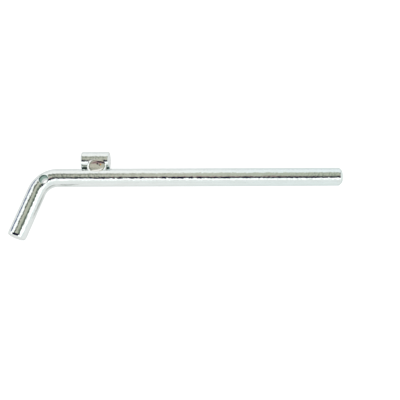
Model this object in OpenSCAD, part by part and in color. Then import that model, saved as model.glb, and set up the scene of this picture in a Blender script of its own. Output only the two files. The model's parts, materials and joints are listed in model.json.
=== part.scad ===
// Bent-bar locking pin with a welded stop lug.
// One length of round bar makes the shank, the bend and the handle leg.
// A short lug of the same bar lies against the shank and is held by a weld bead on each side.
//
// Units are millimetres.
// Frame: the pin lies flat, with the bend in the XY plane.
//   origin  the shank's axis, where the lug's front face crosses it
//   +X      along the shank, towards the tip
//   +Y      from the shank towards the lug; the handle leg bends the other way
//   +Z      square to the bend, along the lanyard hole, on the side of the large bead

/* [Bar] */
// Diameter of the bar: 3/8 inch stock
bar_d = 9.525; // [6:0.025:14]
// Length overall, along the shank, from the handle's outermost point to the tip: 6 3/4 inch
overall_len = 171.45; // [162:0.05:200]
// Working length, from the lug's front face to the tip
use_len = 121.7; // [90:0.1:126]
// Size of the 45 degree chamfer on both cut ends of the bar
end_chamfer = 1.3; // [0.4:0.1:2.5]

/* [Bend and handle] */
// Angle the bar turns through, from the shank's line to the handle leg's line
bend_turn = 71; // [60:1:90]
// Radius on the inside of the bend: 1/4 inch former
bend_inner_r = 6.35; // [4:0.05:12]
// Height over the bend, from the shank's lug-side crest to the end of the handle leg: 1 1/2 inch
handle_drop = 38.1; // [34:0.1:50]
// Diameter the bar loses between the lug's front face and the bend, where bending drew it down
draw_down = 0.02; // [0.01:0.01:0.1]

/* [Lanyard hole] */
// Diameter of the cross hole through the middle of the bend: 11/64 inch drill
hole_d = 4.37; // [2.5:0.01:5]
// Depth of the 45 degree deburring cone at each mouth, below the bar's crest
hole_deburr = 0.35; // [0.1:0.05:0.5]

/* [Stop lug] */
// Diameter of the lug, cut from the same bar
lug_d = 9.525; // [6:0.025:14]
// Length of the lug
lug_len = 14.6; // [8:0.1:24]
// Size of the broken edge at each end of the lug
lug_chamfer = 0.4; // [0.1:0.1:1]

/* [Weld] */
// Distance from the lug's front face back to the middle of the weld
weld_back = 6.1; // [5.5:0.1:8]
// Unwelded root: the weld metal stops this far above or below the line where the lug touches the bar
weld_root = 1.2; // [0.8:0.1:1.8]
// Length of the front bead along the valley
front_len = 10; // [6:0.1:12]
// Width across the valley of the ellipsoid the front bead is cut from
front_spread = 8.4; // [7.6:0.1:12]
// Height of the ellipsoid's middle above the contact line
front_mid = 2; // [1:0.1:2.6]
// Height of the ellipsoid's crown above the contact line, before the dish is cut
front_crown = 6.5; // [6:0.1:8]
// Height of the dish in the front bead above the contact line, at its middle
dish_z = 4.1; // [3.7:0.05:4.2]
// Radius of the dish across the valley, where it is hollow
dish_r = 14; // [12:0.5:30]
// Radius of the dish along the valley, where it is crowned
dish_crown_r = 16; // [12:0.5:40]
// Length of the rear bead along the valley
rear_len = 8.4; // [5:0.1:12]
// Width across the valley of the ellipsoid the rear bead is cut from
rear_spread = 8.4; // [6:0.1:10]
// Depth of the rear bead's crown inside the bars' crests, so that the pin lies flat
rear_sink = 0.2; // [0.1:0.05:1]
// Depth of the rear bead's middle below the contact line
rear_mid = 1.6; // [1:0.1:2.5]

/* [Hidden] */
$fn = 96;
// how far cutting tools run past what they cut
over = 1;

bar_r = bar_d / 2;
lug_r = lug_d / 2;
// radius of the bar in the bend
drawn_r = bar_r - draw_down / 2;

// bend: its centreline radius, and how far its ends lie from the corner of the two axes
bend_r = bend_inner_r + bar_r;
corner_len = bend_r * tan(bend_turn / 2);

// the leg starts a little inside the bend, and is just thin enough to lie within it there
lap = 0.3;
leg_r = drawn_r - 0.002 - lap * lap / (2 * bend_r);

// handle leg: length from the corner that gives the stated height over the bend
handle_len = (handle_drop - bar_r - (leg_r - end_chamfer) * cos(bend_turn)) / sin(bend_turn);
// the corner's place that puts the handle's outermost point at the stated length overall
corner_x = use_len - overall_len
    + (handle_len - end_chamfer) * cos(bend_turn)
    + leg_r * sin(bend_turn);
bend_x = corner_x + corner_len;
leg_len = handle_len - corner_len + lap;

// the lanyard hole crosses the centreline half-way round the bend
hole_x = bend_x - bend_r * sin(bend_turn / 2);
hole_y = bend_r * cos(bend_turn / 2) - bend_r;

// the lug touches the bar along the contact line
lug_y = bar_r + lug_r;
contact_y = bar_r;

// ---------- building blocks ----------

// A straight length of bar along +X from the origin, with a chamfer at its far end.
module chamfered_bar(len, r, chamfer) {
    rotate([0, 90, 0])
        cylinder(h = len - chamfer, r = r);
    translate([len - chamfer, 0, 0])
        rotate([0, 90, 0])
            cylinder(h = chamfer, r1 = r, r2 = r - chamfer);
}

// The length of bar between the bend and the lug's front face, drawn down slightly towards the bend.
module drawn_bar() {
    translate([bend_x, 0, 0])
        rotate([0, 90, 0])
            cylinder(h = -bend_x, r1 = drawn_r, r2 = bar_r);
}

// The bend: the bar swept round the former, from the shank's line to the handle leg's line.
module bend() {
    translate([bend_x, -bend_r, 0])
        rotate([0, 0, 90])
            rotate_extrude(angle = bend_turn)
                translate([bend_r, 0])
                    circle(r = drawn_r);
}

// Puts its children just inside the end of the bend, with +X running down the handle leg.
module at_leg() {
    translate([bend_x, -bend_r, 0])
        rotate([0, 0, bend_turn])
            translate([lap, bend_r, 0])
                rotate([0, 0, 180])
                    children();
}

// The lanyard hole with its deburring cones, as a cutting tool along Z.
module lanyard_hole() {
    mouth = drawn_r - hole_deburr;
    translate([hole_x, hole_y, 0]) {
        cylinder(h = 2 * (drawn_r + over), r = hole_d / 2, center = true);
        for (side = [0, 180])
            rotate([side, 0, 0])
                translate([0, 0, mouth])
                    cylinder(
                        h = hole_deburr + over,
                        r1 = hole_d / 2,
                        r2 = hole_d / 2 + hole_deburr + over
                    );
    }
}

// Weld metal: an ellipsoid over the valley, less both bars and less the unwelded root.
// side is 1 for the +Z face and -1 for the -Z face; mid and crown are heights from the contact line.
module weld_bead(side, len, spread, mid, crown) {
    difference() {
        translate([-weld_back, contact_y, side * mid])
            scale([len / 2, spread / 2, crown - mid])
                sphere(r = 1);
        drawn_bar();
        translate([-lug_len - over, lug_y, 0])
            rotate([0, 90, 0])
                cylinder(h = lug_len + 2 * over, r = lug_r);
        translate([-weld_back, contact_y, side * (weld_root - bar_r)])
            cube([2 * len, 2 * spread, 2 * bar_r], center = true);
    }
}

// The saddle on top of the front bead, hollow across the valley and crowned along it, as a cutting tool.
module weld_dish() {
    translate([-weld_back, contact_y, dish_z - dish_crown_r])
        rotate([90, 0, 0])
            rotate_extrude()
                translate([dish_crown_r + dish_r, 0])
                    circle(r = dish_r);
}

// ---------- the pieces ----------

// Shank, bend and handle leg, one piece of bar with the lanyard hole drilled through the bend.
module bent_rod() {
    color([0.80, 0.81, 0.82])
        difference() {
            union() {
                chamfered_bar(use_len, bar_r, end_chamfer);
                drawn_bar();
                bend();
                at_leg()
                    chamfered_bar(leg_len, leg_r, end_chamfer);
            }
            lanyard_hole();
        }
}

// The stop lug: its front face, in the plane x = 0, is the shoulder that limits the pin's travel.
module stop_lug() {
    color([0.78, 0.79, 0.80])
        translate([-lug_len, lug_y, 0])
            rotate([0, 90, 0]) {
                cylinder(h = lug_chamfer, r1 = lug_r - lug_chamfer, r2 = lug_r);
                translate([0, 0, lug_chamfer])
                    cylinder(h = lug_len - 2 * lug_chamfer, r = lug_r);
                translate([0, 0, lug_len - lug_chamfer])
                    cylinder(h = lug_chamfer, r1 = lug_r, r2 = lug_r - lug_chamfer);
            }
}

// The large bead on the +Z side, washed out between the bars into a shallow saddle.
module weld_bead_front() {
    color([0.72, 0.72, 0.69])
        difference() {
            weld_bead(1, front_len, front_spread, front_mid, front_crown);
            weld_dish();
        }
}

// The smaller bead on the -Z side, kept inside the bars' crests.
module weld_bead_rear() {
    color([0.70, 0.70, 0.67])
        weld_bead(-1, rear_len, rear_spread, rear_mid, bar_r - rear_sink);
}

bent_rod();
stop_lug();
weld_bead_front();
weld_bead_rear();
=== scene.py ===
import functools
import json
import math
import random

import bmesh
import bpy
import numpy as np
from mathutils import Matrix, Vector


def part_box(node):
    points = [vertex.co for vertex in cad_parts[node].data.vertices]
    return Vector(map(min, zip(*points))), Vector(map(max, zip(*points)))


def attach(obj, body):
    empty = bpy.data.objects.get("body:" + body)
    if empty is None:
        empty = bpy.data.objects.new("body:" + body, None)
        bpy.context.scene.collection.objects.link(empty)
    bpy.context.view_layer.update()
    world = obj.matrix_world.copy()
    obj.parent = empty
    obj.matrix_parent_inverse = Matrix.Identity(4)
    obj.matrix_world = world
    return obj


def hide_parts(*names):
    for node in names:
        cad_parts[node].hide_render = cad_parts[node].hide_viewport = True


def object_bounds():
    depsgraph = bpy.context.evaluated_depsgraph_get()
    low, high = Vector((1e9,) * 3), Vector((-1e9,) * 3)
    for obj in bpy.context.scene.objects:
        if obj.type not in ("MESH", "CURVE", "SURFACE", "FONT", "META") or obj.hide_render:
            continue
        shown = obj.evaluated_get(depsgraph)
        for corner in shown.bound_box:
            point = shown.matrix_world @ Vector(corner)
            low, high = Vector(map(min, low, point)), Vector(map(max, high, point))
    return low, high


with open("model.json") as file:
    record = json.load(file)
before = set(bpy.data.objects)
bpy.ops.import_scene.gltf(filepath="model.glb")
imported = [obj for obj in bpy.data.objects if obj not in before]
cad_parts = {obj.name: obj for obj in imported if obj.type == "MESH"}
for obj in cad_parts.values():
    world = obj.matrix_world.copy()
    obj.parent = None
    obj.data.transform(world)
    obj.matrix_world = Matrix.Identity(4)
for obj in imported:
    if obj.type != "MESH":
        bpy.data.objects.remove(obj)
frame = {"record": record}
cad_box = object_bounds()

MM = 0.001

# ---------------------------------------------------------------- sizes, in mm

mounts = {m["name"]: m for m in frame["record"]["mounts"]}
BAR_R = mounts["shank"]["dims"]["r_mm"]
TIP_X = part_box("bent_rod")[1].x / MM
HANDLE_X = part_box("bent_rod")[0].x / MM
HANDLE_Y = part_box("bent_rod")[0].y / MM
CHAMFER = TIP_X - mounts["shank"]["dims"]["length_mm"]
HOLE_R = mounts["lanyard_hole"]["dims"]["r_mm"]
HOLE_X, HOLE_Y = (c / MM for c in mounts["lanyard_hole"]["pos_m"][:2])
HOLE_MOUTH_Z = mounts["lanyard_hole"]["dims"]["length_mm"] / 2
LUG_BACK_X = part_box("stop_lug")[0].x / MM
LUG_Y = mounts["stop_face"]["pos_m"][1] / MM
LUG_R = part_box("stop_lug")[1].y / MM - LUG_Y
CONTACT_Y = BAR_R

# the bend: the angle the bar turns through and its centreline radius
TURN = math.radians(71)
BEND_R = 6.35 + BAR_R
# the visual bars are thinner by SKIN, and by up to twice DENT more where they are uneven,
# so that they stay inside the CAD solids
SKIN = 0.012
DENT = 0.018

CORNER = BEND_R * math.tan(TURN / 2)
HANDLE_LEN = (-HANDLE_Y - (BAR_R - CHAMFER) * math.cos(TURN)) / math.sin(TURN)
CORNER_X = HANDLE_X + (HANDLE_LEN - CHAMFER) * math.cos(TURN) + BAR_R * math.sin(TURN)
BEND_X = CORNER_X + CORNER
ARC_LEN = BEND_R * TURN
SHANK_LEN = TIP_X - BEND_X
BAR_LEN = SHANK_LEN + ARC_LEN + HANDLE_LEN - CORNER
ARC_CENTRE = np.array([BEND_X, -BEND_R])


# ---------------------------------------------------------------- mesh helpers

WAVES = 7
# divides the sum of the waves, to bring it to about -1 to 1
WAVE_SUM = 4.2


@functools.cache
def wave_terms(seed):
    rng = random.Random(seed)
    return [(*(rng.gauss(0, 1) for _ in range(3)), rng.uniform(0, 6.28)) for _ in range(WAVES)]


def wave(a, b, c, seed):
    """Smooth repeatable unevenness, about -1 to 1, over three coordinates."""
    return sum(math.sin(i * a + j * b + k * c + p) for i, j, k, p in wave_terms(seed)) / WAVE_SUM


def dented(r, depth, rough):
    """A bar's radius where its unevenness is rough; the surface is only ever lowered."""
    return r - SKIN - depth * (1 + min(max(rough, -1), 1))


class Skin:
    """A closed surface being built, in mm.

    Each vertex has its place on the metal (lay), its wear, and its dull plating and painted shade inside a
    drilled hole, and its painted shade in the crack between the bars.
    """

    def __init__(self):
        self.verts, self.faces, self.lay, self.wear, self.dullness_and_painted_shade = [], [], [], [], []

    def add(self, point, lay, wear=0.0):
        self.verts.append(tuple(point))
        self.lay.append(tuple(lay))
        self.wear.append(wear)
        self.dullness_and_painted_shade.append(0.0)
        return len(self.verts) - 1

    def ring(self, points, lays, wear=0.0):
        return [self.add(p, q, wear) for p, q in zip(points, lays)]

    def bridge(self, a, b):
        for i in range(len(a)):
            k = (i + 1) % len(a)
            self.faces.append((a[i], a[k], b[k], b[i]))

    def fan(self, ring, centre):
        for i in range(len(ring)):
            self.faces.append((ring[i], ring[(i + 1) % len(ring)], centre))

    def piece(self, name, material, nodes):
        """Makes the mesh object, in metres, attaches it to the root body and hides the CAD nodes it stands
        in for.
        """
        mesh = bpy.data.meshes.new(name)
        mesh.from_pydata([tuple(c * MM for c in v) for v in self.verts], [], self.faces)
        lay = mesh.attributes.new("lay", "FLOAT_VECTOR", "POINT")
        lay.data.foreach_set("vector", np.asarray(self.lay, np.float32).ravel())
        for title, values in (("wear", self.wear), ("dullness_and_painted_shade", self.dullness_and_painted_shade)):
            layer = mesh.attributes.new(title, "FLOAT", "POINT")
            layer.data.foreach_set("value", np.asarray(values, np.float32))
        mesh.polygons.foreach_set("use_smooth", [True] * len(mesh.polygons))
        bm = bmesh.new()
        bm.from_mesh(mesh)
        bmesh.ops.recalc_face_normals(bm, faces=bm.faces)
        bm.to_mesh(mesh)
        bm.free()
        mesh.materials.append(material)
        obj = bpy.data.objects.new(name, mesh)
        bpy.context.scene.collection.objects.link(obj)
        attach(obj, "root")
        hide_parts(*nodes)
        return obj


def rounded(corners, rounding):
    """Rows of a profile through corners, each one but the first and last rounded over.

    Corners and rows are (distance in from the end face, radius).
    """
    corners = [np.array(c, float) for c in corners]
    rows = []
    for before, corner, after in zip(corners, corners[1:], corners[2:]):
        a = corner + rounding * (before - corner) / np.linalg.norm(before - corner)
        b = corner + rounding * (after - corner) / np.linalg.norm(after - corner)
        for t in np.linspace(0, 1, 6):
            rows.append(tuple((1 - t) ** 2 * a + 2 * t * (1 - t) * corner + t * t * b))
    return rows


def cut_end(bends, rounding):
    """Profile of a cut end: along the bar to the first of bends, through them, in along the end face."""
    (first, r), (last, inner) = bends[0], bends[-1]
    return rounded([(first + 1, r), *bends, (last, inner - 1)], rounding)


def even(start, stop, step):
    """Evenly spaced values after start, up to and including stop."""
    count = max(1, round((stop - start) / step))
    return [start + (stop - start) * (i + 1) / count for i in range(count)]


AROUND = 96
ANGLES = [2 * math.pi * j / AROUND for j in range(AROUND)]


def bar_ring(skin, place, s, r, wear=0.0):
    """One ring of a round bar: place(s) gives the centre and the in-plane normal at distance s."""
    centre, normal = place(s)
    points = [(*(centre + r * math.cos(t) * normal), r * math.sin(t)) for t in ANGLES]
    return skin.ring(points, [(s, r * math.cos(t), r * math.sin(t)) for t in ANGLES], wear)


def close_end(skin, place, s, r, ring):
    """A flat end face: rings in to a centre point."""
    for share in (0.82, 0.6, 0.3):
        inner = bar_ring(skin, place, s, r * share)
        skin.bridge(ring, inner)
        ring = inner
    centre, _ = place(s)
    skin.fan(ring, skin.add((*centre, 0.0), (s, 0.0, 0.0)))


def crevice_shade(toward, z):
    """Painted shade in the crack between the bars, on the side that faces the other bar, near the contact
    line.
    """
    half_height, darkness = 2.0, 0.9
    return darkness * math.exp(-((z / half_height) ** 12)) if toward > 0 else 0.0


# ---------------------------------------------------------------- the bent bar

# the handle's end is a shallow bevel that rolls over into a steeper one, down to the end face
BEVEL_START, BEVEL_END = 1.62, 0.40
BEVEL_DROP, ROLL_DROP = 0.33, 1.32
# the handle's end is turned smooth this far up from its face
SMOOTH_END = 1.8
# a nick near the tip: distance from the tip, angle up from the lug's side, half sizes of both, and depth
NICK_AT, NICK_ANGLE = 2.5, math.radians(121)
NICK_HALF_LEN, NICK_HALF_ANGLE, NICK_DEPTH = 1.1, 0.2, 0.06

# the lanyard hole takes the place of a patch of the bar's grid on each side of the bend
PATCH_AROUND = 13
PATCH_ALONG = 28
PATCH_HALF = 3.8
# the hole's mouth is rounded over this much wider than its chamfer
LIP = 0.28
# the chamfer is at least this wide
LEAST_CONE = 0.13
# the last grid ring is this far outside the rounded mouth
MOUTH_MARGIN = 0.05
# how far the mouth's edge is sunk below the bar's surface
MOUTH_SINK = 0.006


def along_bar(s):
    """Centreline point and outward in-plane normal at distance s back from the tip."""
    if s <= SHANK_LEN:
        return np.array([TIP_X - s, 0.0]), np.array([0.0, 1.0])
    turned = min((s - SHANK_LEN) / BEND_R, TURN)
    normal = np.array([-math.sin(turned), math.cos(turned)])
    point = ARC_CENTRE + BEND_R * normal
    beyond = max(s - SHANK_LEN - ARC_LEN, 0.0)
    return point + beyond * np.array([-math.cos(turned), -math.sin(turned)]), normal


def bar_stations():
    """(s, radius) of each ring along the bar, and the numbers of the rings that bound the hole's patch."""
    tip = cut_end([(CHAMFER, BAR_R), (0, BAR_R - CHAMFER)], 0.22)
    handle = cut_end(
        [(BEVEL_START, BAR_R), (BEVEL_END, BAR_R - BEVEL_DROP), (0, BAR_R - ROLL_DROP)], 0.14
    )
    middle = SHANK_LEN + ARC_LEN / 2
    stations = list(reversed(tip))
    marks = []
    at = stations[-1][0]
    for stop, step in [
        (CHAMFER + 1.0, 0.30),
        (SHANK_LEN, 0.55),
        (middle - PATCH_HALF, 0.45),
        (middle + PATCH_HALF, 2 * PATCH_HALF / PATCH_ALONG),
        (SHANK_LEN + ARC_LEN, 0.45),
        (BAR_LEN - 3.0, 0.70),
        (BAR_LEN - handle[0][0], 0.30),
    ]:
        stations += [(s, BAR_R) for s in even(at, stop, step)]
        marks.append(len(stations) - 1)
        at = stop
    stations += [(BAR_LEN - s, r) for s, r in handle[1:]]
    return stations, marks[2], marks[3]


def bend_offset(x, y):
    """How far the point (x, y) is outside the bend's centreline."""
    return math.hypot(x - ARC_CENTRE[0], y - ARC_CENTRE[1]) - BEND_R


def surface_z(x, y):
    """Height of the bend's smooth surface over the point (x, y)."""
    r = BAR_R - SKIN
    return math.sqrt(max(r * r - bend_offset(x, y) ** 2, 0.0))


def hole_point(radius, a):
    return HOLE_X + radius * math.cos(a), HOLE_Y + radius * math.sin(a)


def mouth_radius(a):
    """Where the rounded mouth meets the bar's surface: just outside the 45 degree cone of the chamfer."""
    rho = HOLE_R + 0.12
    for _ in range(30):
        z = surface_z(*hole_point(rho, a))
        rho = 0.5 * rho + 0.5 * (HOLE_R + max(z - HOLE_MOUTH_Z, LEAST_CONE))
    return rho + LIP


def drill_hole(skin, outline, side):
    """Rings from the patch's edge in to the rounded mouth and down the wall. Returns the innermost."""
    rings = [outline]
    offsets = [(skin.verts[v][0] - HOLE_X, skin.verts[v][1] - HOLE_Y) for v in outline]
    angles = [math.atan2(oy, ox) for ox, oy in offsets]
    mouth = [mouth_radius(a) for a in angles]
    rims = [surface_z(*hole_point(rho, a)) for rho, a in zip(mouth, angles)]
    walls = [min(HOLE_MOUTH_Z, z - (rho - HOLE_R)) for z, rho in zip(rims, mouth)]

    def ring(points, wear):
        lays = []
        for x, y, z in points:
            turned = math.atan2(ARC_CENTRE[0] - x, y - ARC_CENTRE[1])
            lays.append((SHANK_LEN + BEND_R * turned, bend_offset(x, y), side * z))
        rings.append(skin.ring([(x, y, side * z) for x, y, z in points], lays, wear))

    # from the patch's straight edges to the round mouth, with the grid's dents fading out
    for share in (0.16, 0.32, 0.48, 0.64, 0.78, 0.89, 0.96):
        points = []
        for (ox, oy), a, rho, v in zip(offsets, angles, mouth, outline):
            x = HOLE_X + (1 - share) * ox + share * (rho + MOUTH_MARGIN) * math.cos(a)
            y = HOLE_Y + (1 - share) * oy + share * (rho + MOUTH_MARGIN) * math.sin(a)
            dent = surface_z(HOLE_X + ox, HOLE_Y + oy) - abs(skin.verts[v][2])
            points.append((x, y, surface_z(x, y) - dent * (1 - share)))
        ring(points, 0.0)
    for beyond, sunk in ((MOUTH_MARGIN, 0.0), (0.3 * MOUTH_MARGIN, MOUTH_SINK)):
        points = []
        for a, rho in zip(angles, mouth):
            x, y = hole_point(rho + beyond, a)
            points.append((x, y, surface_z(x, y) - sunk))
        ring(points, 0.3)
    # over the lip, ever steeper, to the wall
    for t in (0.12, 0.25, 0.4, 0.55, 0.7, 0.85, 0.95, 1.0):
        points = []
        for a, rho, rim, wall in zip(angles, mouth, rims, walls):
            x, y = hole_point(rho + (HOLE_R - rho) * t, a)
            points.append((x, y, min(surface_z(x, y), rim) - MOUTH_SINK - (rim - wall) * t**2.6))
        ring(points, 0.2)
    for depth in (0.05, 0.5, 1.1, 1.8, 2.6, 3.9):
        points = [(*hole_point(HOLE_R, a), max(w - depth, 0.15)) for a, w in zip(angles, walls)]
        ring(points, 0.0)
        # dull plating and painted shade down the hole's wall
        for v, a in zip(rings[-1], angles):
            skin.dullness_and_painted_shade[v] = bore_dullness_and_shade(side, a, depth)
    for a, b in zip(rings, rings[1:]):
        skin.bridge(a, b)
    return rings[-1]


def bore_dullness_and_shade(side, a, depth):
    """How dull the bore is and how much painted shade it has, at an angle and a depth below its mouth.

    The upper half is dull all over, with painted shade most just under its mouth towards the bend's corner.
    The lower half is darker only deep inside: dull plating and painted shade there.
    """
    if side < 0:
        return 0.5 * min(max(depth - 1.8, 0.0), 1.0)
    toward_corner = max(math.cos(a - math.radians(140)), 0.0)
    return 0.5 + 0.5 * toward_corner**0.5 * math.exp(-depth / 1.2)


def build_bar(material):
    skin = Skin()
    stations, first, last = bar_stations()
    for s, r in stations:
        ring = bar_ring(skin, along_bar, s, r)
        edge = min(abs(s - CHAMFER), abs(s), abs(BAR_LEN - s))
        centre, normal = along_bar(s)
        depth = DENT * min(max((BAR_LEN - s - SMOOTH_END) / 1.5, 0.1), 1.0)
        for v, t in zip(ring, ANGLES):
            rr = dented(r, depth, wave(1.1 * s, 2.6 * math.cos(t), 2.6 * math.sin(t), 11))
            nick = ((s - NICK_AT) / NICK_HALF_LEN) ** 2 + ((t - NICK_ANGLE) / NICK_HALF_ANGLE) ** 2
            rr -= NICK_DEPTH * math.exp(-nick)
            skin.verts[v] = (*(centre + rr * math.cos(t) * normal), rr * math.sin(t))
            skin.wear[v] = math.exp(-edge / 0.35)
            if LUG_BACK_X < TIP_X - s < 0:
                # the painted shade reaches less far up the bar than up the lug
                skin.dullness_and_painted_shade[v] = crevice_shade(math.cos(t), 1.4 * rr * math.sin(t))
    top, under = AROUND // 4, 3 * AROUND // 4
    for i in range(len(stations) - 1):
        drilled = first <= i < last
        for j in range(AROUND):
            if drilled and any(m - PATCH_AROUND <= j < m + PATCH_AROUND for m in (top, under)):
                continue
            a, k = i * AROUND, (j + 1) % AROUND
            skin.faces.append((a + j, a + k, a + AROUND + k, a + AROUND + j))
    for i in (0, len(stations) - 1):
        s, r = stations[i]
        close_end(skin, along_bar, s, r - SKIN, [i * AROUND + j for j in range(AROUND)])

    low, high = top - PATCH_AROUND, top + PATCH_AROUND
    upper = [first * AROUND + j for j in range(low, high)]
    upper += [i * AROUND + high for i in range(first, last)]
    upper += [last * AROUND + j for j in range(high, low, -1)]
    upper += [i * AROUND + low for i in range(last, first, -1)]
    # the vertex straight below one at angle t is the one at minus t
    lower = [v // AROUND * AROUND + (AROUND - v % AROUND) % AROUND for v in upper]
    skin.bridge(drill_hole(skin, upper, 1), drill_hole(skin, lower, -1))
    return skin.piece("bar", material, ["bent_rod"])


# ---------------------------------------------------------------- the stop lug

LUG_LEN = -LUG_BACK_X
LUG_CHAMFER = 0.42
LUG_DENT = 0.4 * DENT


def along_lug(s):
    """Centre and in-plane normal at distance s back from the lug's front face."""
    return np.array([-s, LUG_Y]), np.array([0.0, 1.0])


def build_lug(material):
    end = cut_end([(LUG_CHAMFER, LUG_R), (0, LUG_R - LUG_CHAMFER)], 0.28)
    stations = list(reversed(end))
    stations += [(s, LUG_R) for s in even(end[0][0], LUG_LEN - end[0][0], 0.55)]
    stations += [(LUG_LEN - s, r) for s, r in end[1:]]
    skin = Skin()
    rings = []
    for s, r in stations:
        ring = bar_ring(skin, along_lug, s, r, math.exp(-min(s, LUG_LEN - s) / 0.5))
        for v, t in zip(ring, ANGLES):
            rr = dented(r, LUG_DENT, wave(0.8 * s, 2.2 * math.cos(t), 2.2 * math.sin(t), 5))
            skin.verts[v] = (-s, LUG_Y + rr * math.cos(t), rr * math.sin(t))
            # painted shade in the crack along the bar, on the lug's side that faces it
            skin.dullness_and_painted_shade[v] = crevice_shade(-math.cos(t), rr * math.sin(t))
        rings.append(ring)
    for a, b in zip(rings, rings[1:]):
        skin.bridge(a, b)
    for (s, r), ring in ((stations[0], rings[0]), (stations[-1], rings[-1])):
        close_end(skin, along_lug, s, r - SKIN, ring)
    return skin.piece("lug", material, ["stop_lug"])


# ---------------------------------------------------------------- the weld beads

# The front bead's top is hollow across the valley, like the underside of a round resting on both bars. The
# round is thickest at the crest and thins out towards each end. An oval lump cuts the bead off all round.
FRONT = {
    # the round: where it is thickest, its radius there, how far it goes back and forward, and the power
    # with which it thins out
    "crest": -2.7,
    "hollow": 9.8,
    "fall_back": 9.9,
    "fall_front": 10.2,
    "power": 1.8,
    # how much higher than resting on the bars, and its rise towards the lug
    "lift": 0.16,
    "tilt": -0.01,
    # how far its line swings towards the lug on its way forward, and where it crosses the middle
    "skew": 0.21,
    "shift": -0.65,
    # the lump: how far it goes back and forward, its half width, and how far it sits towards the lug
    "back": 5.4,
    "front": 4.9,
    "half_width": 4.3,
    "side": 0.7,
    # how boxy its outline is, the height of that outline, and the crown's height
    "square": 2.4,
    "mid": 2.3,
    "crown": 5.4,
    # how softly round and lump meet, and how softly the weld runs out on the bars
    "rim": 0.6,
    "toe": 0.4,
}
# pits in it: x, y, radius, depth
FRONT_PITS = [(1.45, 0.55, 0.40, 0.11), (0.45, 1.0, 0.50, 0.09)]
# the rust fleck on it: x, y, radius
FRONT_FLECK = (2.10, 1.05, 0.50)

# the rear bead is a low oval dome with its outline at the height REAR_MID
REAR_LOW, REAR_HIGH = (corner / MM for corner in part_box("weld_bead_rear"))
REAR_HALF_LEN = (REAR_HIGH.x - REAR_LOW.x) / 2
REAR_HALF_WIDTH = 4.1
REAR_MID = 1.6
REAR_TOE = 0.22
# a pit in it: x, y, radius, depth
REAR_PIT = (-1.2, 0.5, 0.25, 0.1)
# its ripples run out from a point behind its middle: height, number in 2 pi mm, x of that point
REAR_RIPPLE, REAR_RIPPLE_RATE, REAR_RIPPLE_X = 0.035, 5.0, -2.2
# room for the rear bead's unevenness below the CAD's crown
REAR_SINK = 0.04


def bars_z(y):
    """Height of the two bars' surfaces at distance y across from the contact line."""
    over_bar = BAR_R**2 - (y + BAR_R) ** 2
    over_lug = LUG_R**2 - (y - LUG_R) ** 2
    return math.sqrt(max(over_bar, over_lug, 0.0))


def smooth_max(a, b, k):
    h = max(k - abs(a - b), 0.0) / k
    return max(a, b) + h * h * k * 0.25


def smooth_min(a, b, k):
    return -smooth_max(-a, -b, k)


def blob(x, y, half_len, half_width, square, mid, crown):
    """Height of a rounded lump of weld metal; square 2 gives an oval outline, more gives a boxier one."""
    d = 1 - abs(x / half_len) ** square - abs(y / half_width) ** square
    return mid + (crown - mid) * math.copysign(math.sqrt(abs(d)), d)


def pit_depth(x, y, pit):
    px, py, radius, depth = pit
    return depth * math.exp(-(((x - px) ** 2 + (y - py) ** 2) / radius**2))


def front_top(x, y):
    u = x - FRONT["crest"]
    reach = FRONT["fall_back"] if u < 0 else FRONT["fall_front"]
    radius = FRONT["hollow"] * max(1 - (abs(u) / reach) ** FRONT["power"], 0.03)
    level = math.sqrt((BAR_R + radius) ** 2 - BAR_R**2) - radius
    level += FRONT["lift"] + FRONT["tilt"] * y
    across = y - FRONT["skew"] * x - FRONT["shift"]
    if abs(across) < 0.98 * radius:
        level += radius - math.sqrt(radius**2 - across**2)
    else:
        level += 0.8 * radius
    half_len = FRONT["back"] if x < 0 else FRONT["front"]
    outline = (half_len, FRONT["half_width"], FRONT["square"])
    lump = blob(x, y - FRONT["side"], *outline, FRONT["mid"], FRONT["crown"])
    z = smooth_min(level, lump, FRONT["rim"])
    for pit in FRONT_PITS:
        z -= pit_depth(x, y, pit)
    return z + 0.012 * wave(1.6 * x, 1.6 * y, 0, 3)


def rear_top(x, y):
    z = blob(x, y, REAR_HALF_LEN, REAR_HALF_WIDTH, 2.0, REAR_MID, -REAR_LOW.z)
    z -= pit_depth(x, y, REAR_PIT)
    ripple = REAR_RIPPLE * math.sin(REAR_RIPPLE_RATE * math.hypot(x - REAR_RIPPLE_X, 1.2 * y))
    return z - REAR_SINK + ripple + 0.03 * wave(0.9 * x, 0.9 * y, 0, 8)


def edge_distance(visible, a):
    """How far from the middle, in the direction a, the weld metal stays visible."""
    inside, outside = 0.2, 7.0
    for _ in range(40):
        f = (inside + outside) / 2
        if visible(f * math.cos(a), f * math.sin(a)):
            inside = f
        else:
            outside = f
    return inside


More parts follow.
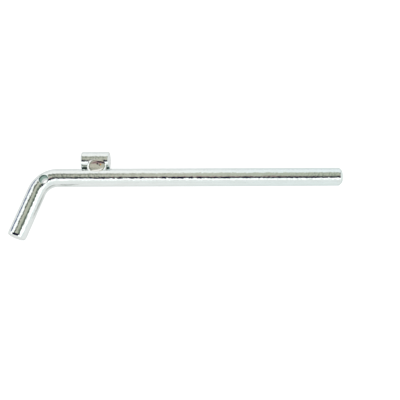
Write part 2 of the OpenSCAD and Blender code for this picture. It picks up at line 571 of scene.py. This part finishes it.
def build_bead(name, node, side, top, toe, material):
    """Weld metal over the valley, on top (side 1) or underneath (side -1).

    top(x, y) is its height at x along the bars and y across them, from the bead's middle.
    """
    low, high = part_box(node)
    centre_x = (low.x + high.x) / 2 / MM
    half_len = (high.x - low.x) / 2 / MM
    ceiling = max(abs(low.z), abs(high.z), BAR_R * MM) / MM - 0.006
    root = min(abs(low.z), abs(high.z)) / MM
    skin = Skin()

    def visible(x, y):
        return abs(x) < half_len and top(x, y) > max(bars_z(y) - 0.9 * toe, root)

    def vertex(x, y, z):
        return skin.add((centre_x + x, CONTACT_Y + y, side * z), (x, y, z))

    def top_vertex(x, y):
        return vertex(x, y, min(smooth_max(top(x, y), bars_z(y), toe), ceiling))

    sectors, rows = 120, 46
    angles = [2 * math.pi * i / sectors for i in range(sectors)]
    reach = [edge_distance(visible, a) for a in angles]
    middle = top_vertex(0, 0)
    ring = None
    for row in range(1, rows + 1):
        # the rows are closest together at the edge
        share = 1 - (1 - row / rows) ** 1.4
        points = [(share * f * math.cos(a), share * f * math.sin(a)) for f, a in zip(reach, angles)]
        if row < rows:
            outer = [top_vertex(x, y) for x, y in points]
        else:
            outer = [vertex(x, y, max(bars_z(y), root) - 0.03) for x, y in points]
        if ring is None:
            skin.fan(outer, middle)
        else:
            skin.bridge(ring, outer)
        ring = outer
    # the underside is closed inside the bars
    inner = [vertex(0.94 * x, 0.78 * y, max(bars_z(y) - 0.7, 0.6 * root)) for x, y in points]
    skin.bridge(ring, inner)
    skin.fan(inner, vertex(0, 0, 0.9 * root))
    return skin.piece(name, material, [node])


# ---------------------------------------------------------------- materials

PLATING = (0.735, 0.790, 0.778, 1)
PLATING_CLOUDED = (0.712, 0.762, 0.745, 1)
PLATING_WORN = (0.64, 0.64, 0.60, 1)
# dull plating for the hole's wall, also the fringe of the painted shade in the hole and in the crack
# between the bars; then the darkest painted shade
DULL_AND_SHADED_PLATING = (0.50, 0.68, 0.61, 1)
PAINTED_SHADE = (0.05, 0.11, 0.11, 1)
WELD = (0.76, 0.785, 0.765, 1)
WELD_DULL = (0.69, 0.705, 0.66, 1)
SOOT = (0.20, 0.18, 0.20, 1)
RUST = (0.58, 0.24, 0.01, 1)
EDGE_TINT = (0.82, 0.84, 0.84, 1)
WHITE = (1.0, 1.0, 1.0, 1)


class Nodes:
    """Short way to write a node tree. Values are numbers, colours or other nodes' outputs."""

    def __init__(self, name, tree=None):
        if tree is None:
            self.material = bpy.data.materials.new(name)
            self.material.use_nodes = True
            tree = self.material.node_tree
        tree.nodes.clear()
        self.tree = tree

    def feed(self, socket, value):
        if isinstance(value, bpy.types.NodeSocket):
            self.tree.links.new(value, socket)
        else:
            socket.default_value = value

    def add(self, kind, values=None, **settings):
        node = self.tree.nodes.new(kind)
        for key, value in settings.items():
            setattr(node, key, value)
        for key, value in (values or {}).items():
            self.feed(node.inputs[key], value)
        return node

    def attribute(self, title, output="Fac"):
        return self.add("ShaderNodeAttribute", attribute_name=title).outputs[output]

    def math(self, operation, a, b=0.0):
        return self.add("ShaderNodeMath", {0: a, 1: b}, operation=operation).outputs[0]

    def product(self, *terms):
        return functools.reduce(lambda a, b: self.math("MULTIPLY", a, b), terms)

    def largest(self, *terms):
        return functools.reduce(lambda a, b: self.math("MAXIMUM", a, b), terms)

    def plus(self, total, value, weight=None):
        """total + value, or total + value * weight."""
        if weight is not None:
            value = self.math("MULTIPLY", value, weight)
        return self.math("ADD", total, value)

    def split(self, vector):
        return self.add("ShaderNodeSeparateXYZ", {0: vector}).outputs

    def noise(self, vector, scale, detail=3.0, roughness=0.55):
        values = {"Vector": vector, "Scale": scale, "Detail": detail, "Roughness": roughness}
        return self.add("ShaderNodeTexNoise", values).outputs["Fac"]

    def stretch(self, vector, x, y, z):
        values = {"Vector": vector, "Scale": (x, y, z)}
        return self.add("ShaderNodeMapping", values).outputs["Vector"]

    def ramp(self, value, low, high, start=0.0, end=1.0):
        """Goes smoothly from start to end as value goes from low to high; low may be the larger."""
        values = {"Value": value, 1: low, 2: high, 3: start, 4: end}
        return self.add("ShaderNodeMapRange", values, interpolation_type="SMOOTHSTEP").outputs[0]

    def mix(self, share, a, b):
        return self.add("ShaderNodeMix", {0: share, 6: a, 7: b}, data_type="RGBA").outputs[2]

    def camera_ray(self):
        return self.add("ShaderNodeLightPath").outputs["Is Camera Ray"]

    def metal(self, base, metallic, rough, height):
        """Ends the tree as a plated surface, uneven by height in mm."""
        bump = self.add("ShaderNodeBump", {"Height": height, "Strength": 1.0, "Distance": MM})
        values = {
            "Base Color": base,
            "Metallic": metallic,
            "Roughness": rough,
            "Specular Tint": EDGE_TINT,
            "Normal": bump.outputs[0],
        }
        shader = self.add("ShaderNodeBsdfPrincipled", values)
        self.add("ShaderNodeOutputMaterial", {"Surface": shader.outputs[0]})
        return self.material


def plated_bar(name):
    """Bright plating over drawn bar.

    Mirror-like, with draw lines along the bar, clouding, fine scratches, nicks, worn edges, a dull bore
    with painted shade in it, and painted shade in the crack beside the weld.
    """
    n = Nodes(name)
    lay = n.attribute("lay", "Vector")
    wear = n.attribute("wear")
    dullness_and_painted_shade = n.attribute("dullness_and_painted_shade")
    ripple = n.noise(n.stretch(lay, 1.10, 1.00, 1.00), 1.0, 2.0, 0.5)
    lines = n.noise(n.stretch(lay, 0.10, 3.2, 3.2), 1.0, 4.0, 0.6)
    fine = n.noise(n.stretch(lay, 0.35, 14.0, 14.0), 1.0, 3.0, 0.6)
    swell = n.noise(n.stretch(lay, 0.30, 0.40, 0.40), 1.0, 3.0, 0.55)
    cloud = n.noise(n.stretch(lay, 0.12, 0.5, 0.5), 1.0, 5.0, 0.6)
    scuff = n.noise(n.stretch(lay, 2.2, 5.0, 5.0), 1.0, 6.0, 0.7)
    nick = n.ramp(n.noise(n.stretch(lay, 1.1, 2.4, 2.4), 1.0, 2.0, 0.4), 0.70, 0.76)
    worn = n.math("MULTIPLY", wear, n.ramp(scuff, 0.35, 0.62))
    # dull plating in the drilled hole, with painted shade there and in the crack between the bars
    dull_and_shaded = n.ramp(dullness_and_painted_shade, 0.3, 0.5)

    base = n.mix(n.ramp(cloud, 0.35, 0.70), PLATING, PLATING_CLOUDED)
    base = n.mix(n.math("MULTIPLY", worn, 0.45), base, PLATING_WORN)
    base = n.mix(dull_and_shaded, base, DULL_AND_SHADED_PLATING)
    # the darkest painted shade, just under the hole's mouth and in the crack between the bars
    base = n.mix(n.ramp(dullness_and_painted_shade, 0.55, 0.85), base, PAINTED_SHADE)
    rough = n.ramp(cloud, 0.30, 0.75, 0.015, 0.050)
    rough = n.plus(rough, n.ramp(fine, 0.52, 0.72, 0.0, 0.04))
    rough = n.plus(rough, worn, 0.12)
    rough = n.plus(rough, dull_and_shaded, 0.45)

    # the handle's bevelled end has no ripple
    from_tip = n.split(lay)[0]
    smooth_from = BAR_LEN - SMOOTH_END - 0.1
    ripple = n.math("MULTIPLY", ripple, n.ramp(from_tip, smooth_from, smooth_from - 1.5))
    height = n.math("MULTIPLY", lines, 0.0040)
    height = n.plus(height, fine, 0.0005)
    height = n.plus(height, swell, 0.085)
    height = n.plus(height, ripple, 0.095)
    height = n.plus(height, worn, 0.008)
    height = n.plus(height, nick, -0.004)
    return n.metal(base, 1.0, rough, height)


def plated_weld(name, pits, fleck=None):
    """The same plating over weld metal: duller, sooty in the pits, with a rust fleck if one is given."""
    n = Nodes(name)
    lay = n.attribute("lay", "Vector")

    def near(x, y, radius):
        """1 around the point (x, y), with a ragged edge."""
        flat = n.stretch(lay, 1.0, 1.0, 0.0)
        gap = n.add("ShaderNodeVectorMath", {0: flat, 1: (x, y, 0.0)}, operation="DISTANCE")
        ragged = n.plus(gap.outputs["Value"], n.noise(lay, 4.0, 3.0), radius * 0.9)
        return n.ramp(ragged, radius * 1.6, radius * 0.8)

    grain = n.noise(lay, 1.6, 5.0, 0.6)
    fine = n.noise(lay, 7.0, 4.0, 0.6)
    base = n.mix(n.ramp(grain, 0.35, 0.68), WELD, WELD_DULL)
    rough = n.plus(n.ramp(grain, 0.3, 0.75, 0.05, 0.12), n.ramp(fine, 0.55, 0.75, 0.0, 0.05))
    metallic = 1.0
    for x, y, radius, _ in pits:
        soot = n.math("MULTIPLY", near(x, y, radius * 0.5), 0.6)
        base = n.mix(soot, base, SOOT)
        rough = n.plus(rough, soot, 0.2)
    if fleck:
        rust = near(*fleck)
        base = n.mix(rust, base, RUST)
        rough = n.plus(rough, rust, 0.5)
        metallic = n.plus(1.0, rust, -0.95)
    height = n.plus(n.math("MULTIPLY", grain, 0.035), fine, 0.004)
    return n.metal(base, metallic, rough, height)


# ---------------------------------------------------------------- the object

bar_metal = plated_bar("bright_bar")
build_bar(bar_metal)
build_lug(bar_metal)
front_metal = plated_weld("plated_weld_front", FRONT_PITS, FRONT_FLECK)
build_bead("weld_front", "weld_bead_front", 1, front_top, FRONT["toe"], front_metal)
rear_metal = plated_weld("plated_weld_rear", [REAR_PIT])
build_bead("weld_rear", "weld_bead_rear", -1, rear_top, REAR_TOE, rear_metal)

# ---------------------------------------------------------------- floor, tent and camera

FLOOR_HALF = 2.5
FLOOR_GAP = 0.00001
# the light that the table gives off, at the handle's end and at the tip
GLOW_HANDLE, GLOW_TIP = (1.04, 1.0, 1.0, 1), (0.975, 1.005, 1.01, 1)
# strength of that light in the metal's reflections, and to the camera
GLOW_REFLECTED, GLOW_SEEN = 0.785, 0.90
# a painted shadow on the table's light in the crook of the bend, seen only in reflections, in mm: middle,
# half sizes
CROOK_X, CROOK_Y = -24.0, -17.0
CROOK_HALF_X, CROOK_HALF_Y = 7.0, 9.5
PAINTED_CROOK_SHADOW = (0.42, 0.42, 0.40, 1)

CEILING_LEFT, CEILING_RIGHT = (0.69, 0.66, 0.57, 1), (0.57, 0.60, 0.49, 1)
CEILING_DIM = (0.24, 0.27, 0.22, 1)
CEILING_RED = (0.40, 0.22, 0.24, 1)
OPENING_EDGE = (0.12, 0.145, 0.115, 1)
OPENING_NEAR = (0.006, 0.008, 0.032, 1)
TENT_HANDLE, TENT_TIP = (1.17, 1.14, 1.13, 1), (1.04, 1.10, 1.12, 1)
TENT_NEAR = (0.97, 0.98, 0.97, 1)
TENT_LIT = (1.55, 1.55, 1.55, 1)
SEAM = (0.50, 0.52, 0.62, 1)
SEAM_DARK = (0.11, 0.15, 0.30, 1)
BOOM = (0.012, 0.014, 0.018, 1)


def build_floor():
    """A lit white table: most of its light comes from below, so that the pin throws next to no shadow."""
    mesh = bpy.data.meshes.new("floor")
    z = cad_box[0][2] - FLOOR_GAP
    corners = [(i * FLOOR_HALF, j * FLOOR_HALF, z) for i, j in ((-1, -1), (1, -1), (1, 1), (-1, 1))]
    mesh.from_pydata(corners, [], [(0, 1, 2, 3)])
    floor = bpy.data.objects.new("floor", mesh)
    bpy.context.scene.collection.objects.link(floor)
    n = Nodes("floor_acrylic")
    where = n.add("ShaderNodeTexCoord").outputs["Object"]
    x, y, _ = n.split(where)
    tone = n.mix(n.noise(where, 40.0, 3.0), (0.25, 0.26, 0.26, 1), (0.27, 0.28, 0.28, 1))
    glow = n.mix(n.ramp(x, 0.0, TIP_X * MM), GLOW_HANDLE, GLOW_TIP)
    off_x = n.math("DIVIDE", n.math("SUBTRACT", x, CROOK_X * MM), CROOK_HALF_X * MM)
    off_y = n.math("DIVIDE", n.math("SUBTRACT", y, CROOK_Y * MM), CROOK_HALF_Y * MM)
    off = n.plus(n.math("MULTIPLY", off_x, off_x), off_y, off_y)
    # painted shadow in the crook of the bend, in the table's light as the metal reflects it
    glow = n.mix(n.ramp(off, 1.0, 0.1), glow, PAINTED_CROOK_SHADOW)
    # overexposed to the camera, dimmer in the metal's reflections
    seen = n.camera_ray()
    values = {
        "Base Color": tone,
        "Roughness": 0.85,
        "Specular IOR Level": 0.0,
        "Emission Color": n.mix(seen, glow, WHITE),
        "Emission Strength": n.ramp(seen, 0.0, 1.0, GLOW_REFLECTED, GLOW_SEEN),
    }
    shader = n.add("ShaderNodeBsdfPrincipled", values)
    n.add("ShaderNodeOutputMaterial", {"Surface": shader.outputs[0]})
    mesh.materials.append(n.material)


def ceiling_colour(n, u, v):
    """The dim ceiling in the tent's opening, and the opening's dark edges, darkest on the camera's side."""
    ceiling = n.mix(n.ramp(u, -0.15, 0.25), CEILING_LEFT, CEILING_RIGHT)
    # it falls off towards the camera at both ends, and on the far side above the handle
    left_corner = n.product(n.ramp(u, -0.12, -0.20), n.ramp(v, 0.10, -0.10), 0.8)
    right_corner = n.product(n.ramp(u, 0.12, 0.24), n.ramp(v, 0.12, -0.10), 0.6)
    far_line = n.product(n.ramp(v, 0.28, 0.40), n.ramp(u, -0.08, -0.18), 0.5)
    ceiling = n.mix(n.largest(left_corner, right_corner, far_line), ceiling, CEILING_DIM)
    fringe = n.product(n.ramp(v, -0.06, -0.20), n.ramp(u, -0.16, -0.08), n.ramp(u, 0.22, 0.14), 0.85)
    ceiling = n.mix(fringe, ceiling, CEILING_RED)
    slant = n.math("SUBTRACT", u, n.math("MULTIPLY", n.math("SUBTRACT", v, 0.2), 0.5))
    slanted_edge = n.product(n.ramp(slant, -0.20, -0.32), n.ramp(v, 0.46, 0.34))
    edge = n.largest(slanted_edge, n.ramp(u, -0.26, -0.38), n.ramp(u, 0.24, 0.42))
    ceiling = n.mix(n.math("MULTIPLY", edge, 0.95), ceiling, OPENING_EDGE)
    near_line = n.plus(v, n.ramp(u, -0.25, -0.40, 0.0, -0.06))
    return n.mix(n.ramp(near_line, -0.22, -0.30), ceiling, OPENING_NEAR)


def boom_shade(n, u, v, z):
    """The boom that carries the camera, coming in over the handle. It is wider further out."""
    off_boom = n.math("ABSOLUTE", n.plus(n.plus(v, u, 0.2), 0.42))
    half_width = n.largest(n.math("MULTIPLY", u, -0.20), 0.16)
    boom = n.ramp(n.math("SUBTRACT", off_boom, half_width), 0.03, 0.0)
    return n.product(boom, n.ramp(u, -0.40, -0.50), n.ramp(u, -1.4, -1.2), n.ramp(z, 0.12, 0.18))


def tent_colour(n, x, y, z, u, v):
    """The white cloth: warm at the handle and cool at the tip, with its seam and the camera's boom."""
    tent = n.mix(n.ramp(x, -0.15, 0.25), TENT_HANDLE, TENT_TIP)
    tent = n.mix(n.ramp(y, 0.1, -0.2, 0.0, 0.7), tent, TENT_NEAR)
    # brightest where the tent's sides catch the lamps
    near_side = n.product(n.ramp(y, 0.05, -0.1), n.ramp(z, 0.55, 0.63))
    left_side = n.product(n.ramp(x, -0.35, -0.45), n.ramp(z, 0.15, 0.30), n.ramp(y, 0.55, 0.25))
    right_side = n.product(n.ramp(x, 0.5, 0.6), n.ramp(z, 0.20, 0.35), n.ramp(y, 0.5, 0.2))
    tent = n.mix(n.largest(near_side, left_side, right_side), tent, TENT_LIT)
    # the seam where the tent meets the table, darkest beyond the handle
    seam = n.math("MULTIPLY", n.ramp(z, 0.20, 0.08), n.ramp(y, -0.2, 0.2, 0.12, 0.40))
    tent = n.mix(seam, tent, SEAM)
    beyond_handle = n.math("MULTIPLY", n.ramp(x, -0.60, -0.75), n.ramp(y, 0.28, 0.36))
    dark_seam = n.product(beyond_handle, n.ramp(z, 0.42, 0.34), n.ramp(z, 0.0, 0.06), 0.9)
    tent = n.mix(dark_seam, tent, SEAM_DARK)
    return n.mix(boom_shade(n, u, v, z), tent, BOOM)


def build_tent():
    """A white light tent, open overhead to a dimmer ceiling. Straight to the camera it is plain white."""
    world = bpy.data.worlds.new("tent")
    bpy.context.scene.world = world
    world.use_nodes = True
    n = Nodes("tent", world.node_tree)
    x, y, z = n.split(n.add("ShaderNodeTexCoord").outputs["Generated"])
    # slopes from straight up: u towards the tip, v away from the camera
    up = n.largest(z, 0.02)
    u, v = n.math("DIVIDE", x, up), n.math("DIVIDE", y, up)
    # the opening's near edge is closer to overhead a little left of the middle
    nearer = n.product(n.ramp(u, -0.02, -0.10), n.ramp(u, -0.30, -0.20), 0.10)
    opening = n.product(
        n.ramp(u, -0.60, -0.56),
        n.ramp(u, 0.84, 0.78),
        n.ramp(n.math("SUBTRACT", v, nearer), -0.72, -0.685),
        n.ramp(v, 0.87, 0.72),
        n.ramp(z, 0.05, 0.15),
    )
    colour = n.mix(opening, tent_colour(n, x, y, z, u, v), ceiling_colour(n, u, v))
    colour = n.mix(n.camera_ray(), colour, WHITE)
    back = n.add("ShaderNodeBackground", {"Color": colour, "Strength": 1.0})
    n.add("ShaderNodeOutputWorld", {"Surface": back.outputs[0]})


CAMERA_ELEVATION = math.radians(72)
CAMERA_AZIMUTH = math.radians(-0.26)
CAMERA_DISTANCE = 0.3085
# what it looks at: this far back from the tip, and towards the handle
AIM_BACK, AIM_SIDE = 74.1, 12.5


def build_camera():
    """Looks down at the pin from the handle's side."""
    aim = Vector((TIP_X - AIM_BACK, -AIM_SIDE, 0.0)) * MM
    level = math.cos(CAMERA_ELEVATION)
    back = Vector(
        (
            math.sin(CAMERA_AZIMUTH) * level,
            -math.cos(CAMERA_AZIMUTH) * level,
            math.sin(CAMERA_ELEVATION),
        )
    )
    right = Vector((math.cos(CAMERA_AZIMUTH), math.sin(CAMERA_AZIMUTH), 0.0))
    lens = bpy.data.cameras.new("camera")
    lens.sensor_width = 36
    lens.lens = 53.7
    lens.clip_start = 0.01
    camera = bpy.data.objects.new("camera", lens)
    bpy.context.scene.collection.objects.link(camera)
    turn = Matrix((right, back.cross(right), back)).transposed().to_4x4()
    camera.matrix_world = Matrix.Translation(aim + back * CAMERA_DISTANCE) @ turn
    bpy.context.scene.camera = camera


build_floor()
build_tent()
build_camera()
settings = bpy.context.scene.view_settings
settings.view_transform = "Standard"
settings.look = "None"
